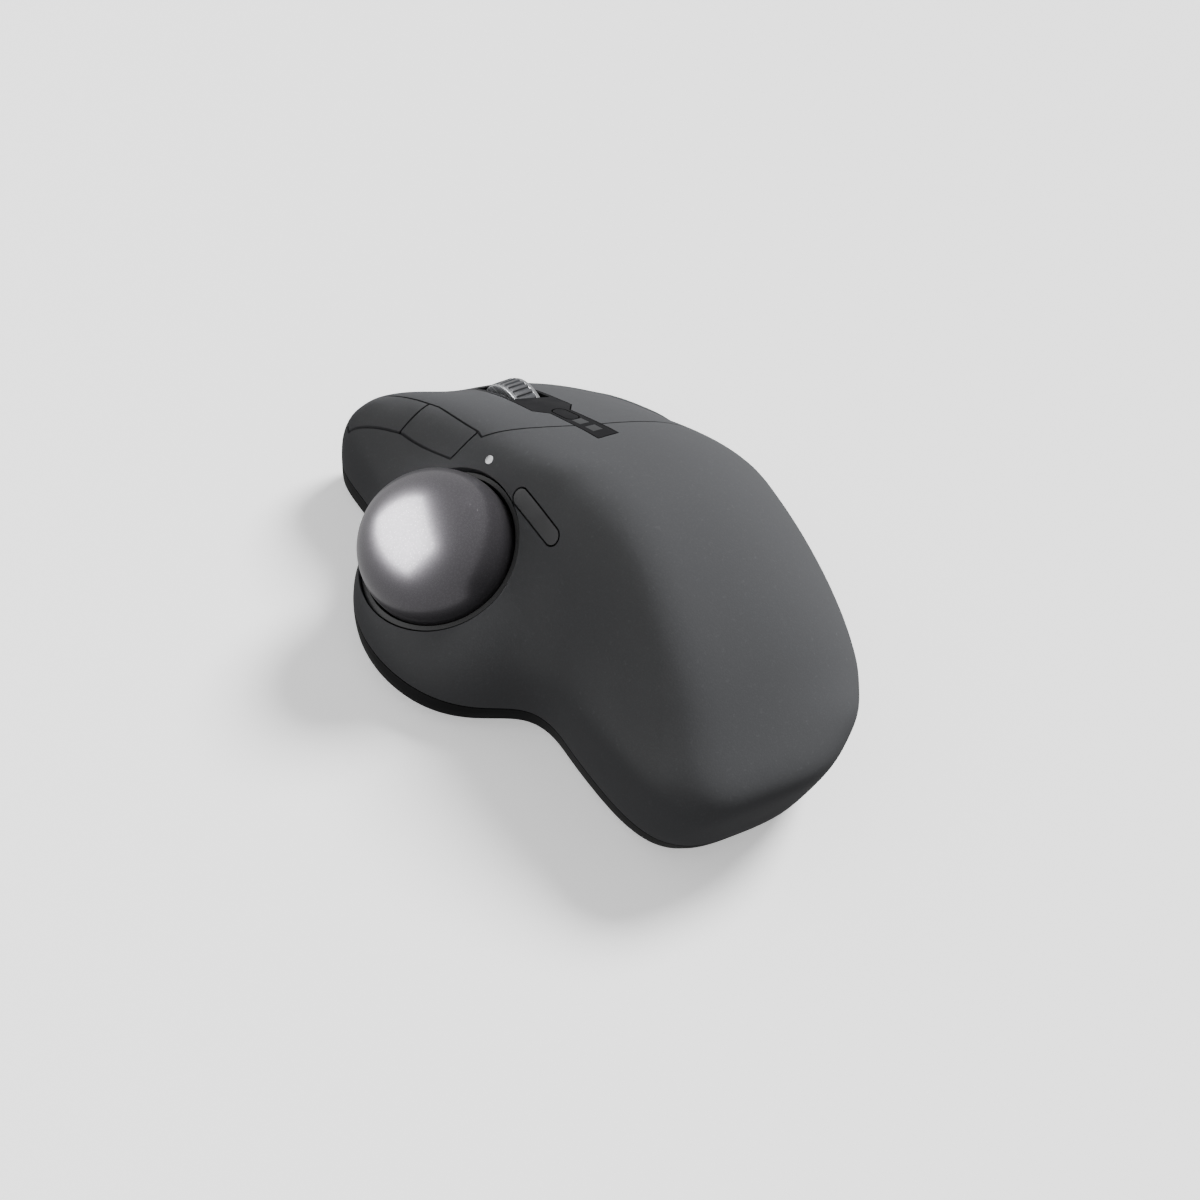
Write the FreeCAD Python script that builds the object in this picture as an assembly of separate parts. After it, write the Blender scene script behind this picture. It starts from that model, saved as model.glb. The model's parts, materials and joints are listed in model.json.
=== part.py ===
import FreeCAD, Part
import math
import os

V = FreeCAD.Vector

# Thumb-operated trackball mouse for the right hand, in millimetres.
# +X is to the right, +Y is forward, towards the buttons, and +Z is up from the desk.
# Everything is laid out about the palm's own centre line, and is moved by BOX_SHIFT when it is
# saved, so that the finished part's box stands centred on the origin, on the desk.

# ---------------------------------------------------------------- driving dimensions
BOX_SHIFT = V(-0.13, 0.72, 0)

# The shell: plan outline of the palm, taken round its centre.
PALM_CENTRE = (4.0, 0.0)
PALM_OUTLINE = [(-26, 64), (-27.5, 45), (-27, 20), (-27, -5), (-26.5, -28), (-27, -46), (-23.5, -62),
                (-9, -68), (9, -67.5), (24.5, -59.5), (36.5, -41.5), (44, -18), (48.5, 5), (48.5, 28),
                (42, 46), (28, 57), (8, 63), (-10, 65)]
CREST_Y = [-70, -50, -30, -12, 10, 30, 48, 66]
CREST_Z = [28, 41.5, 48.5, 51, 47.5, 40, 34.5, 30]
RIDGE_Y = [-70, -52, -29, 0, 27, 48, 64]
RIDGE_X = [-24, -20, -15, -12.5, -14, -18, -26]
WAIST_FRONT = 13.0
WAIST_REAR_RISE = 12.0
SCOOP_DEPTH = 26.0
# The front left corner is crisper: a higher power of the plan outline there, about one angle.
PROW_POWER = 5.0
PROW_TURN = 2.1
PROW_WIDTH = 0.35
PROW_RISE = 0.0017
BLEND = 15.0
WALL = 2.0
SKIN_GRID = 37
SHEET_POINTS = 60
SKIN_FLOOR = -2.0
SKIN_CENTRE = (-2.0, 2.0, 12.0)

# The ball and its socket.
BALL = V(-31, 18, 24)
BALL_R = 17.0
SOCKET_AXIS = V(-0.45, -0.1, 0.89)
SOCKET_AXIS.normalize()
SOCKET_R = 18.6
CUP_IN = 17.5
CUP_OUT = 18.9
STUD_R = 1.25
STUD_GAP = 0.05
LOBE_CENTRE = (-29.0, 12.0, 8.5)
LOBE_SIZE = (20.0, 25.5, 14.0)
LOBE_TURN = math.radians(-14)
EJECT_R = 6.5

# The base plate and the tilt hinge.
PAD_T = 1.2
PLATE_T = 1.5
PLATE_TOP = PAD_T + PLATE_T
HINGE_X = 22.0
HINGE_Z = 5.5
HINGE_DROP = 2.5
HINGE_SPAN = 38.0
HINGE_PIN_R = 1.5
LUG_R = 3.2
LUG_HALF = 3.0
SLOPE = math.radians(20.6)
FLOOR_T = 2.0
PART_Z = 7.0
SEAM = 0.15

# The wheel and its three nested frames.
WHEEL = V(6.5, 44.6, 22.4)
WHEEL_R = 10.0
WHEEL_HALF = 3.0
AXLE_R = 1.2
TILT_Z = 14.5
PRESS_Y = 25.0
WELL_R = 11.0
WELL_HALF = 4.45

# The keys.
KEY_FLOOR = 17.0
KEY_GAP = 0.2
DECK_SEAM = [(-13.5, 32.5), (3, 22.8), (22, 17.5), (56, 19)]
STRIP_X = 6.5
STRIP_HALF = 2.6
STRIP_WIDE = 5.3
STRIP_REAR = 14.5
STRIP_STEP = 34.0
KEY_HINGE_Y = 16.0
KEY_HINGE_Z = 28.0
RUN = 0.05
LINING = 0.8
INNER_LIP = 3.1

BOARD_Z = 10.4
BOARD_T = 1.6
BOARD_TOP = BOARD_Z + BOARD_T

# Screws: plan places, and for the case screws the way to the nearest wall (+1 front, -1 rear).
CASE_SCREWS = [(-16, 55, 1), (18.5, 53.5, 1), (-12, -56, -1), (16, -56, -1)]
BOARD_SCREWS = [(13, -38.5), (-1, -38.6), (24, 30), (-3.5, 33.5)]
CASE_POST_R = 4.0
CASE_POST_TOP = 6.5
CASE_SHANK_R = 1.18
CASE_HEAD_R = 2.2
CASE_HEAD_Z = 3.3
CASE_TIP_Z = 14.0
BOARD_POST_R = 2.5
BOARD_SHANK_R = 0.98
BOARD_HEAD_R = 2.1
BOARD_TIP_Z = 6.6
HEAD_T = 1.2
BOSS_HALF = 3.0
BOSS_TOP_FRONT = 15.4
BOSS_TOP_REAR = 20.0

# The tilt hinge's blocks on the case, and the pocket for each lug of the plate.
PIN_HALF = 7.5
BLOCK_HALF = 4.0
BLOCK_END = 8.3
BLOCK_TOP = 9.4
LUG_FOOT_HALF = 2.4
LUG_PLAY = 0.3
POCKET_HALF = 5.5

# The plate, the pad and the power switch.
PLATE_INSET = 2.6
PAD_INSET = 3.6
PAD_BAND = 12.0
SWITCH_AT = V(2, -30, 0)
WINDOW_HALF = (4.5, 7.5)
KNOB_TRAVEL = 3.0
KNOB_HALF = 2.0
KNOB_SLOT_HALF = (2.3, 4.0)
KNOB_LOW = 3.3
KNOB_COLLAR_Z = 5.3

# The main keys' hinge rod, its brackets, the keys' arms and the switches under them.
ROD_R = 1.5
ROD_X = (-11.5, 30.8)
BRACKET_X = (-10.2, 11.0, 29.5)
BRACKET_HALF = (1.3, 2.6)
BRACKET_LOW = 25.4
KEY_ARMS_LEFT = (-7.0, -0.5)
KEY_ARMS_RIGHT = (15.0, 25.0)
ARM_HALF = 1.5
ARM_R = 2.6
LEFT_SWITCH_X, RIGHT_SWITCH_X = -5.2, 20.0
SWITCH_Y = 40.0
PLUNGER_TOP = 19.3
PLUNGER_LOW = 17.2
SWITCH_TOP = 18.5

# The small keys and lights.
BACK_SPLIT = 49.5
SIDE_BOARD_Z = 15.6
SIDE_BOARD_TOP = 16.8
SIDE_STEM_LOW = 19.7
PRECISION_XY = (-15.6, 6.5)
PRECISION_LEN, PRECISION_WIDE = 16.2, 3.8
PRECISION_PLAY = 0.8
LIGHT_XY = (-15.0, 25.8)
LIGHT_R = 1.0
DEVICE_Y = 29.2
DEVICE_LEN, DEVICE_WIDE = 7.0, 3.2
DEVICE_PLAY = 0.6
LENSES = [("indicator_lens_front", 24.0), ("indicator_lens_rear", 19.4)]
LENS_HALF = (1.3, 1.5)
TOP_BOARD_Z = 30.6
TOP_BOARD_T = 1.0

# The charging inlet in the front wall.
PORT = V(STRIP_X, 0, 9.1)
PORT_Y = (56.2, 62.2)
PORT_HALF = (3.9, 1.25)
PORT_WALL = 0.4

# The ball's sensor looks at the ball along this direction.
LOOK = V(0.85, -0.3, -0.35)
LOOK.normalize()
LENS_R = 2.6

# The wheel's frames.
FRAME_LOW, FRAME_HIGH = 13.6, 16.6
YOKE_IN, YOKE_OUT = 3.7, 5.5
TILT_PIN_R = 0.8
PRESS_IN, PRESS_OUT = 6.3, 7.8
PRESS_PIN_R = 1.3


# ---------------------------------------------------------------- the moulded surface
def spline(xs, ys):
    """Natural cubic spline through the points, held level past both ends."""
    n = len(xs)
    h = [xs[i + 1] - xs[i] for i in range(n - 1)]
    upper = [0.0] * n
    right = [0.0] * n
    bend = [0.0] * n
    for i in range(1, n - 1):
        slope = (ys[i + 1] - ys[i]) / h[i] - (ys[i] - ys[i - 1]) / h[i - 1]
        pivot = 2 * (h[i - 1] + h[i]) - h[i - 1] * upper[i - 1]
        upper[i] = h[i] / pivot
        right[i] = (6 * slope - h[i - 1] * right[i - 1]) / pivot
    for i in range(n - 2, 0, -1):
        bend[i] = right[i] - upper[i] * bend[i + 1]

    def at(x):
        x = min(max(x, xs[0]), xs[-1])
        i = 0
        while i < n - 2 and x > xs[i + 1]:
            i += 1
        a = (xs[i + 1] - x) / h[i]
        b = 1 - a
        curve = ((a ** 3 - a) * bend[i] + (b ** 3 - b) * bend[i + 1]) * h[i] ** 2 / 6
        return a * ys[i] + b * ys[i + 1] + curve
    return at


def round_spline(points, centre):
    """Radius of a closed outline as a smooth function of the angle about its centre."""
    polar = []
    for x, y in points:
        dx, dy = x - centre[0], y - centre[1]
        polar.append((math.atan2(dy, dx), math.hypot(dx, dy)))
    polar.sort()
    turns = [(a + 2 * math.pi * k, r) for k in (-1, 0, 1) for a, r in polar]
    return spline([a for a, r in turns], [r for a, r in turns])


def softplus(t, width):
    if t > 30 * width:
        return t
    return width * math.log1p(math.exp(t / width))


palm_radius = round_spline(PALM_OUTLINE, PALM_CENTRE)
crest = spline(CREST_Y, CREST_Z)
ridge = spline(RIDGE_Y, RIDGE_X)
LOBE_ALONG = V(-math.sin(LOBE_TURN), math.cos(LOBE_TURN), 0)
LOBE_ACROSS = LOBE_ALONG.cross(SOCKET_AXIS)
LOBE_ACROSS.normalize()
LOBE_ALONG = SOCKET_AXIS.cross(LOBE_ACROSS)


def top_height(x, y):
    """Height of the palm's top: a crest line, a rounded right side and a deep scoop on the left."""
    right = max(x - PALM_CENTRE[0], 0.0)
    left = max(PALM_CENTRE[0] - x, 0.0)
    ahead = min(max(y, 0.0), 70.0)
    h = crest(y) - (0.0048 + 0.00012 * ahead) * right ** 2 - 0.003 * left ** 2
    h -= SCOOP_DEPTH * (1 - math.exp(-2 * softplus(ridge(y) - x, 2.6) / SCOOP_DEPTH))
    return h + ahead * (PROW_RISE * left - 0.0013 * right)


def palm(x, y, z):
    """Negative inside the palm: a super-ellipse in plan, round above and below its waist."""
    dx, dy = x - PALM_CENTRE[0], y - PALM_CENTRE[1]
    angle = math.atan2(dy, dx)
    rho = math.hypot(dx, dy) / palm_radius(angle)
    waist = WAIST_FRONT + WAIST_REAR_RISE * max(-math.sin(angle), 0.0) ** 2
    if z > waist:
        height = 6.0 + softplus(top_height(x, y) - waist - 6.0, 3.0)
        upright = ((z - waist) / height) ** 2
    else:
        upright = 0.5 * ((waist - z) / (waist + 6.0)) ** 2
    power = 3 + PROW_POWER * math.exp(-((angle - PROW_TURN) / PROW_WIDTH) ** 2)
    return math.sqrt(rho ** power + upright) - 1


def lobe(x, y, z):
    """Negative inside the rounded pod that holds the ball."""
    px, py, pz = x - LOBE_CENTRE[0], y - LOBE_CENTRE[1], z - LOBE_CENTRE[2]
    u = (px * LOBE_ACROSS.x + py * LOBE_ACROSS.y + pz * LOBE_ACROSS.z) / LOBE_SIZE[0]
    v = (px * LOBE_ALONG.x + py * LOBE_ALONG.y + pz * LOBE_ALONG.z) / LOBE_SIZE[1]
    n = (px * SOCKET_AXIS.x + py * SOCKET_AXIS.y + pz * SOCKET_AXIS.z) / LOBE_SIZE[2]
    return ((u * u + v * v) ** 1.3 + abs(n) ** 2.6) ** (1 / 2.6) - 1


def distance(f, x, y, z):
    """A close distance to the surface f = 0: the value over the length of its gradient."""
    e = 0.5
    gx = f(x + e, y, z) - f(x - e, y, z)
    gy = f(x, y + e, z) - f(x, y - e, z)
    gz = f(x, y, z + e) - f(x, y, z - e)
    return f(x, y, z) / math.sqrt(gx * gx + gy * gy + gz * gz + 1e-5)


def body(x, y, z):
    """Negative inside the moulded body: the palm and the pod, blended."""
    a = distance(palm, x, y, z)
    b = distance(lobe, x, y, z)
    h = min(max(0.5 + 0.5 * (b - a) / BLEND, 0.0), 1.0)
    return b + (a - b) * h - BLEND * h * (1 - h)


def surface_range(start, direction, level):
    """Distance along a ray at which the body's depth reaches the level."""
    def depth(t):
        p = start + direction * t
        return body(p.x, p.y, p.z) - level
    near, far = 4.0, 90.0
    d_near, d_far = depth(near), depth(far)
    for step in range(40):
        mid = far - d_far * (far - near) / (d_far - d_near)
        if step % 3 == 2:
            mid = 0.5 * (near + far)
        d_mid = depth(mid)
        if abs(d_mid) < 1e-6 or far - near < 1e-6:
            break
        if d_mid < 0:
            near, d_near = mid, d_mid
        else:
            far, d_far = mid, d_mid
    return mid


def level_solid(level):
    """Solid inside the surface at one depth below the skin, closed by a flat face under the desk."""
    centre = V(*SKIN_CENTRE)
    foot = V(centre.x, centre.y, SKIN_FLOOR)
    rows = []
    for i in range(SKIN_GRID):
        s = -1 + 2 * i / (SKIN_GRID - 1)
        row = []
        for j in range(SKIN_GRID):
            t = -1 + 2 * j / (SKIN_GRID - 1)
            u = s * math.sqrt(1 - t * t / 2)
            v = t * math.sqrt(1 - s * s / 2)
            out = math.hypot(u, v)
            around = V(1, 0, 0)
            if out > 1e-9:
                around = V(u / out, v / out, 0)
            reach = surface_range(foot, around, level)
            if max(abs(s), abs(t)) > 1 - 1e-9:
                row.append(foot + around * reach)
                continue
            fall = out * (math.pi / 2 + math.atan2(centre.z - SKIN_FLOOR, reach))
            ray = around * math.sin(fall) + V(0, 0, math.cos(fall))
            row.append(centre + ray * surface_range(centre, ray, level))
        rows.append(row)
    skin = Part.BSplineSurface()
    skin.interpolate(rows)
    face = skin.toShape()
    lid = Part.Face(Part.Wire(Part.__sortEdges__(face.Edges)))
    solid = Part.makeSolid(Part.makeShell([face, lid]))
    if solid.Volume < 0:
        solid.reverse()
    return solid


# ---------------------------------------------------------------- plain building blocks
def box(x0, x1, y0, y1, z0, z1):
    return Part.makeBox(x1 - x0, y1 - y0, z1 - z0, V(x0, y0, z0))


def rod(start, end, radius):
    along = end - start
    return Part.makeCylinder(radius, along.Length, start, along)


def ring(centre, axis, outer, inner, width):
    """A flat ring centred on a point, with its width along the axis."""
    start = centre - axis * (width / 2)
    return Part.makeCylinder(outer, width, start, axis).cut(
        Part.makeCylinder(inner, width, start, axis))


def prism(points, z0, z1):
    """Upright prism on a plan outline."""
    outline = [V(x, y, z0) for x, y in points]
    outline.append(outline[0])
    return Part.Face(Part.makePolygon(outline)).extrude(V(0, 0, z1 - z0))


def side_prism(points, y0=-80, y1=80):
    """Prism along Y on an outline of x, z points."""
    outline = [V(x, y0, z) for x, z in points]
    outline.append(outline[0])
    return Part.Face(Part.makePolygon(outline)).extrude(V(0, y1 - y0, 0))


def capsule(centre, along, across, length, width, depth):
    """Bar with round ends: long side along one axis, depth through the third, both ways."""
    through = along.cross(across)
    half = (length - width) / 2
    ends = [centre - along * half, centre + along * half]
    bar = Part.makeCylinder(width / 2, 2 * depth, ends[0] - through * depth, through)
    bar = bar.fuse(Part.makeCylinder(width / 2, 2 * depth, ends[1] - through * depth, through))
    corners = [ends[0] - across * (width / 2), ends[1] - across * (width / 2),
               ends[1] + across * (width / 2), ends[0] + across * (width / 2)]
    corners = [p - through * depth for p in corners]
    corners.append(corners[0])
    return bar.fuse(Part.Face(Part.makePolygon(corners)).extrude(through * (2 * depth))).removeSplitter()


def grown(points, gap):
    """Plan outline moved outwards (or inwards, when negative) by a gap."""
    wire = Part.makePolygon([V(x, y, 0) for x, y in points + points[:1]])
    return Part.Face(wire).makeOffset2D(gap)


def save(name, *solids):
    shape = solids[0] if len(solids) == 1 else Part.Compound(list(solids))
    shape = shape.copy()
    shape.translate(BOX_SHIFT)
    shape.exportStep("parts/" + name + ".step")
    print(name, len(shape.Solids), round(shape.Volume, 1), shape.isValid())


def facing(points, z_top=80):
    """Upright block above a polyline of x, z points."""
    return side_prism([(points[0][0], z_top)] + points + [(points[-1][0], z_top)])


def underside(lift):
    """The case's underside as x, z points: flat on the left, sloped up beyond the tilt hinge."""
    drop = HINGE_DROP - lift
    far = 80.0
    return [(-far, HINGE_Z - drop), (HINGE_X + drop * math.tan(SLOPE / 2), HINGE_Z - drop),
            (far, HINGE_Z - drop / math.cos(SLOPE) + (far - HINGE_X) * math.tan(SLOPE))]


def parting(lift):
    """Line between the two halves of the shell: level, then rising alongside the underside."""
    far = 80.0
    turn = HINGE_X - 2
    return [(-far, PART_Z + lift), (turn, PART_Z + lift),
            (far, PART_Z + lift + (far - turn) * math.tan(SLOPE))]


def skin_height(x, y, depth=0.0):
    return 4 + surface_range(V(x, y, 4), V(0, 0, 1), -depth)


def skin_normal(p):
    e = 0.5
    n = V(body(p.x + e, p.y, p.z) - body(p.x - e, p.y, p.z),
          body(p.x, p.y + e, p.z) - body(p.x, p.y - e, p.z),
          body(p.x, p.y, p.z + e) - body(p.x, p.y, p.z - e))
    n.normalize()
    return n


os.makedirs("parts", exist_ok=True)
X, Y, Z = V(1, 0, 0), V(0, 1, 0), V(0, 0, 1)
outer = level_solid(0)
inner = level_solid(-WALL)
lining = level_solid(-LINING)
core = level_solid(-INNER_LIP)

# ---------------------------------------------------------------- base plate
PLATE_Y = (HINGE_SPAN, -HINGE_SPAN)
eject_hole = rod(V(BALL.x, BALL.y, -5), V(BALL.x, BALL.y, BALL.z), EJECT_R)
switch_window = box(SWITCH_AT.x - WINDOW_HALF[0], SWITCH_AT.x + WINDOW_HALF[0],
                    SWITCH_AT.y - WINDOW_HALF[1], SWITCH_AT.y + WINDOW_HALF[1], -1, PLATE_TOP + 0.4)


def sheet(inset, z0, z1):
    """Flat sheet that follows the body's outline at the desk, set in from the skin."""
    foot = V(SKIN_CENTRE[0], SKIN_CENTRE[1], PAD_T)
    rim = []
    for k in range(SHEET_POINTS):
        turn = 2 * math.pi * k / SHEET_POINTS
        around = V(math.cos(turn), math.sin(turn), 0)
        rim.append(foot + around * surface_range(foot, around, -inset) + V(0, 0, z0 - PAD_T))
    edge = Part.BSplineCurve()
    edge.interpolate(Points=rim, PeriodicFlag=True)
    return Part.Face(Part.Wire(edge.toShape())).extrude(V(0, 0, z1 - z0))


plate = sheet(PLATE_INSET, PAD_T, PLATE_TOP).cut(eject_hole).cut(switch_window)
for y in PLATE_Y:
    lug = rod(V(HINGE_X, y - LUG_HALF, HINGE_Z), V(HINGE_X, y + LUG_HALF, HINGE_Z), LUG_R)
    lug = lug.fuse(box(HINGE_X - LUG_FOOT_HALF, HINGE_X + LUG_FOOT_HALF, y - LUG_HALF, y + LUG_HALF,
                       PAD_T, HINGE_Z))
    lug = lug.common(box(0, 50, -60, 60, PAD_T, 20))
    plate = plate.fuse(lug)
for y in PLATE_Y:
    plate = plate.cut(rod(V(HINGE_X, y - PIN_HALF, HINGE_Z), V(HINGE_X, y + PIN_HALF, HINGE_Z), HINGE_PIN_R))
plate = plate.removeSplitter()
save("base_plate", plate)
pad = sheet(PAD_INSET, 0, PAD_T).cut(sheet(PAD_BAND, -1, PAD_T + 1)).cut(eject_hole)
save("rubber_pad", pad)
for name, y in zip(("hinge_pin_front", "hinge_pin_rear"), PLATE_Y):
    save(name, rod(V(HINGE_X, y - PIN_HALF, HINGE_Z), V(HINGE_X, y + PIN_HALF, HINGE_Z), HINGE_PIN_R))

# ---------------------------------------------------------------- bottom case
above_floor = facing(underside(0))
below_parting = side_prism(parting(-SEAM) + [(80, -10), (-80, -10)])
cavity = inner.common(facing(underside(FLOOR_T)))
bottom = outer.common(above_floor).common(below_parting).cut(cavity)
lip_zone = facing(parting(-2.0)).cut(facing(parting(1.4)))
lip = inner.cut(core).common(lip_zone).common(above_floor)
bottom = bottom.fuse(lip)

inside = inner.common(above_floor)


def post(x, y, radius, top):
    """Post standing on the case's floor."""
    return rod(V(x, y, HINGE_Z - HINGE_DROP + 0.5), V(x, y, top), radius)


for x, y, side in CASE_SCREWS:
    bottom = bottom.fuse(post(x, y, CASE_POST_R, CASE_POST_TOP).common(inside))
for x, y in BOARD_SCREWS:
    bottom = bottom.fuse(post(x, y, BOARD_POST_R, BOARD_Z).common(inside))
bottom = bottom.fuse(post(-14, 42, 1.5, SIDE_BOARD_Z))
for y in PLATE_Y:
    for y0, y1 in ((y - BLOCK_END, y - LUG_HALF - LUG_PLAY), (y + LUG_HALF + LUG_PLAY, y + BLOCK_END)):
        block = box(HINGE_X - BLOCK_HALF, HINGE_X + BLOCK_HALF, y0, y1, 2, BLOCK_TOP)
        bottom = bottom.fuse(block.common(inside))
for y in PLATE_Y:
    bottom = bottom.cut(box(HINGE_X - POCKET_HALF, HINGE_X + POCKET_HALF, y - LUG_HALF - LUG_PLAY,
                            y + LUG_HALF + LUG_PLAY, 0, BLOCK_TOP + 0.1))
    bottom = bottom.cut(rod(V(HINGE_X, y - PIN_HALF - 0.5, HINGE_Z), V(HINGE_X, y + PIN_HALF + 0.5, HINGE_Z),
                            HINGE_PIN_R + RUN))
for x, y, side in CASE_SCREWS:
    bottom = bottom.cut(rod(V(x, y, 0), V(x, y, 8), CASE_SHANK_R + 0.22))
    bottom = bottom.cut(rod(V(x, y, 0), V(x, y, CASE_HEAD_Z + HEAD_T + 0.3), CASE_HEAD_R + 0.3))
for x, y in BOARD_SCREWS:
    bottom = bottom.cut(rod(V(x, y, 6), V(x, y, BOARD_TOP), BOARD_SHANK_R + 0.02))
knob_slot = box(SWITCH_AT.x - KNOB_SLOT_HALF[0], SWITCH_AT.x + KNOB_SLOT_HALF[0],
                SWITCH_AT.y - KNOB_SLOT_HALF[1], SWITCH_AT.y + KNOB_SLOT_HALF[1], 2, 6)
bottom = bottom.cut(eject_hole).cut(knob_slot)
below_ball = Part.makeSphere(CUP_OUT + 0.1, BALL)
bottom = bottom.cut(below_ball)

# ---------------------------------------------------------------- top cover
above_parting = facing(parting(SEAM))
wall = outer.cut(inner).common(above_parting)
seam_y = spline([x for x, y in DECK_SEAM], [y for x, y in DECK_SEAM])
SIDE_LINE = [(-12.6, 34.0), (-14, 47), (-20, 66), (-20, 80)]
SIDE_EDGE = [(-36, 80), (-28, 66), (-21.5, 49), (-18.8, 34.0)]


def seam_points(x0, x1, steps):
    xs = [x0 + (x1 - x0) * i / steps for i in range(steps + 1)]
    return [(x, seam_y(x)) for x in xs]


left_region = seam_points(STRIP_X - STRIP_HALF, -13.0, 5) + SIDE_LINE + [
    (STRIP_X - STRIP_WIDE, 80), (STRIP_X - STRIP_WIDE, STRIP_STEP), (STRIP_X - STRIP_HALF, STRIP_STEP - 3)]
right_region = seam_points(STRIP_X + STRIP_HALF, 56, 8) + [
    (56, 80), (STRIP_X + STRIP_WIDE, 80), (STRIP_X + STRIP_WIDE, STRIP_STEP),
    (STRIP_X + STRIP_HALF, STRIP_STEP - 3)]
strip_region = [(STRIP_X - STRIP_HALF, STRIP_REAR), (STRIP_X + STRIP_HALF, STRIP_REAR),
                (STRIP_X + STRIP_HALF, STRIP_STEP - 3), (STRIP_X + STRIP_WIDE, STRIP_STEP),
                (STRIP_X + STRIP_WIDE, 80), (STRIP_X - STRIP_WIDE, 80),
                (STRIP_X - STRIP_WIDE, STRIP_STEP), (STRIP_X - STRIP_HALF, STRIP_STEP - 3)]
back_region = [(-12.6, 34.0), (-14, 47), (-14.8, BACK_SPLIT), (-21.7, BACK_SPLIT), (-21.5, 49), (-18.8, 34.0)]
forward_region = [(-14.8, BACK_SPLIT), (-20, 66), (-20, 80), (-36, 80), (-28, 66), (-21.7, BACK_SPLIT)]


def column(region, gap, z0):
    """Upright prism over a region of the deck, its edges moved by a gap."""
    face = grown(region, gap)
    face.translate(V(0, 0, z0))
    return face.extrude(V(0, 0, 90 - z0))


cover = wall
for region in (left_region, right_region, strip_region, back_region, forward_region):
    cover = cover.cut(column(region, KEY_GAP, KEY_FLOOR))
socket_low = BALL - SOCKET_AXIS * 12
socket_bore = rod(socket_low, BALL + SOCKET_AXIS * 40, SOCKET_R)
cover = cover.cut(socket_bore).cut(below_ball)

# Bosses that take the case screws, each joined to the nearest wall.
for x, y, side in CASE_SCREWS:
    y0, y1 = sorted((y - BOSS_HALF * side, y + 14 * side))
    top = BOSS_TOP_FRONT if side > 0 else BOSS_TOP_REAR
    boss = box(x - BOSS_HALF, x + BOSS_HALF, y0, y1, CASE_POST_TOP + 0.1, top).common(lining)
    cover = cover.fuse(boss.common(above_parting).cut(lip))
for x, y, side in CASE_SCREWS:
    cover = cover.cut(rod(V(x, y, 6), V(x, y, CASE_TIP_Z + 0.4), CASE_SHANK_R + 0.02))

# Brackets that hang the keys' hinge rod under the cover.
key_room = column(left_region, KEY_GAP, KEY_HINGE_Z + ARM_R).fuse(
    column(right_region, KEY_GAP, KEY_HINGE_Z + ARM_R))
for x in BRACKET_X:
    bracket = box(x - BRACKET_HALF[0], x + BRACKET_HALF[0], KEY_HINGE_Y - BRACKET_HALF[1],
                  KEY_HINGE_Y + BRACKET_HALF[1], BRACKET_LOW, 60)
    cover = cover.fuse(bracket.common(lining).cut(key_room))
hinge_rod = rod(V(ROD_X[0], KEY_HINGE_Y, KEY_HINGE_Z), V(ROD_X[1], KEY_HINGE_Y, KEY_HINGE_Z), ROD_R)
cover = cover.cut(hinge_rod)
save("key_hinge_rod", hinge_rod)

# The precision key's slot and the status light's hole, square to the scoop's wall.
PRECISION = V(*PRECISION_XY, skin_height(*PRECISION_XY))
precision_out = skin_normal(PRECISION)
precision_along = Y - precision_out * Y.dot(precision_out)
precision_along.normalize()
precision_across = precision_out.cross(precision_along)
cover = cover.cut(capsule(PRECISION, precision_along, precision_across, PRECISION_LEN + PRECISION_PLAY,
                          PRECISION_WIDE + PRECISION_PLAY, 5))
LIGHT = V(*LIGHT_XY, skin_height(*LIGHT_XY))
light_out = skin_normal(LIGHT)
cover = cover.cut(rod(LIGHT - light_out * 5, LIGHT + light_out * 5, LIGHT_R + RUN))

port_hole = capsule(V(PORT.x, 62, PORT.z), X, Z, 9.4, 3.6, 6)
cover = cover.cut(port_hole)
bottom = bottom.cut(port_hole)
cover = cover.removeSplitter()
save("top_cover", cover)
save("bottom_case", bottom.removeSplitter())

# ---------------------------------------------------------------- ball and socket
save("ball", Part.makeSphere(BALL_R, BALL))
collar = SOCKET_R - 0.2
step = -math.sqrt(CUP_OUT ** 2 - collar ** 2)
cup = Part.makeSphere(CUP_OUT, BALL).common(rod(BALL - SOCKET_AXIS * 30, BALL + SOCKET_AXIS * step, 30))
cup = cup.fuse(rod(BALL + SOCKET_AXIS * step, BALL + SOCKET_AXIS * 10, collar))
cup = cup.cut(Part.makeSphere(CUP_IN, BALL)).cut(rod(BALL, BALL + SOCKET_AXIS * 12, CUP_IN))
cup = cup.common(lining).cut(eject_hole)
across = SOCKET_AXIS.cross(Y)
across.normalize()
onward = SOCKET_AXIS.cross(across)
studs = []
for k in range(3):
    turn = math.radians(90 + 120 * k)
    lean = math.radians(52)
    side_dir = across * math.cos(turn) + onward * math.sin(turn)
    toward = side_dir * math.sin(lean) - SOCKET_AXIS * math.cos(lean)
    seat = BALL + toward * (BALL_R + STUD_GAP + STUD_R)
    studs.append(Part.makeSphere(STUD_R, seat))
    cup = cup.cut(rod(BALL + toward * 15, BALL + toward * 22, STUD_R))
look_side = LOOK.cross(Z)
look_side.normalize()
look_up = look_side.cross(LOOK)
lens = rod(BALL + LOOK * (CUP_IN + 0.2), BALL + LOOK * 20.2, LENS_R)
cup = cup.cut(rod(BALL + LOOK * 15, BALL + LOOK * 22, LENS_R + RUN))
save("ball_cup", cup)
for k, stud in enumerate(studs):
    save("bearing_stud_%d" % (k + 1), stud)
save("sensor_lens", lens)


def slab(centre, out, along, sideways, near, far, half_long, half_wide):
    """Block square to a direction, between two distances along it."""
    corners = []
    for a, b in ((-1, -1), (1, -1), (1, 1), (-1, 1)):
        corners.append(centre + out * near + along * (a * half_long) + sideways * (b * half_wide))
    corners.append(corners[0])
    return Part.Face(Part.makePolygon(corners)).extrude(out * (far - near))


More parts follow.
